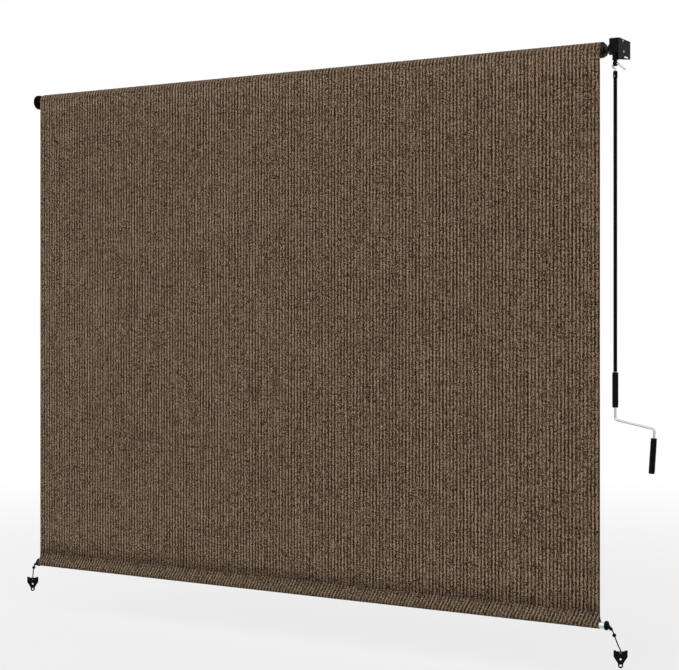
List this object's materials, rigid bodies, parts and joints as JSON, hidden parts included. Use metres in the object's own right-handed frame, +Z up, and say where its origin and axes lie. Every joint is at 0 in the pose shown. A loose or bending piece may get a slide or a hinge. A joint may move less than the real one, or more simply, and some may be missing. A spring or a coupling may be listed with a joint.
{
  "type": "outdoor roller shade",
  "caption": "Wide outdoor roller shade of ribbed knitted cloth on a tube, with a crank gearbox, swinging crank pole, weighted hem rail and elastic tie-down cleats.",
  "frame": {"origin": "on the wall plane, at the centre of the four wall holes in the two brackets' back flanges", "axes": "+X along the roller towards the gearbox, +Y into the wall, +Z up"},
  "size_m": [2.6842, 0.111, 1.999],
  "materials": {
    "shade_fabric": "matte knitted",
    "hem_fabric": "matte knitted",
    "black_coated_steel": "satin powder coat",
    "black_plastic": "fine grain",
    "white_plastic": "moulded",
    "tube_metal": "mill",
    "rail_metal": "satin",
    "bright_zinc": "bright plated",
    "steel": "turned",
    "bronze": "machined",
    "elastic_cord": "braided cover"
  },
  "bodies": {
    "head": {"gear_bracket": "black_coated_steel", "idler_bracket": "black_coated_steel", "gear_housing": "black_plastic", "gear_cover": "black_plastic", "housing_screws": "steel", "gearbox_screws": "bright_zinc", "idler_bush": "black_plastic", "shade_cloth": "shade_fabric"},
    "worm": {"worm": "steel", "eye_shaft": "black_coated_steel", "thrust_washers": "bronze"},
    "roller": {"roller_tube": "tube_metal", "fabric_roll": "shade_fabric", "drive_plug": "white_plastic", "drive_shaft": "steel", "worm_wheel": "bronze", "idler_plug": "black_plastic", "idler_pin": "steel"},
    "rail": {"rail_tube": "rail_metal", "hem_pocket": "hem_fabric", "gear_end_cap": "black_plastic", "idle_end_cap": "black_plastic", "gear_cord": "elastic_cord", "idle_cord": "elastic_cord", "gear_bead": "black_plastic", "idle_bead": "black_plastic", "gear_cleat": "black_plastic", "idle_cleat": "black_plastic"},
    "crank": {"hook_rod": "bright_zinc", "ferrule": "black_plastic", "ferrule_pin": "steel", "crank_pole": "black_coated_steel", "handle_rod": "bright_zinc", "grip_clips": "steel"},
    "upper_grip": {"upper_grip": "black_plastic"},
    "lower_grip": {"lower_grip": "black_plastic", "grip_plug": "black_plastic"}
  },
  "joints": [
    {"name": "crank_turn", "type": "hinge", "parent": "head", "child": "worm", "pos_m": [1.252, -0.075, -0.009], "axis": [0, 0, -1], "range_deg": [0, 22680]},
    {"name": "roller_turn", "type": "hinge", "parent": "head", "child": "roller", "pos_m": [0, -0.062, -0.009], "axis": [-1, 0, 0], "range_deg": [0, 3240.1]},
    {"name": "rail_lift", "type": "slide", "parent": "head", "child": "rail", "axis": [0, 0, 1], "range_m": [0, 1.741], "deforming": ["shade_cloth"]},
    {"name": "crank_swing", "type": "hinge", "parent": "worm", "child": "crank", "pos_m": [1.252, -0.075, -0.0577], "axis": [-1, 0, 0], "range_deg": [0, 60]},
    {"name": "upper_grip_spin", "type": "hinge", "parent": "crank", "child": "upper_grip", "pos_m": [1.252, -0.075, -1.096], "axis": [0, 0, 1], "continuous": true},
    {"name": "lower_grip_spin", "type": "hinge", "parent": "crank", "child": "lower_grip", "pos_m": [1.386, -0.075, -1.216], "axis": [0.0698, 0, 0.9976], "continuous": true}
  ],
  "couplings": [
    {"joint": "roller_turn", "follows": "crank_turn", "ratio": 0.14286},
    {"joint": "rail_lift", "follows": "crank_turn", "m_per_rad": 0.0043957}
  ]
}
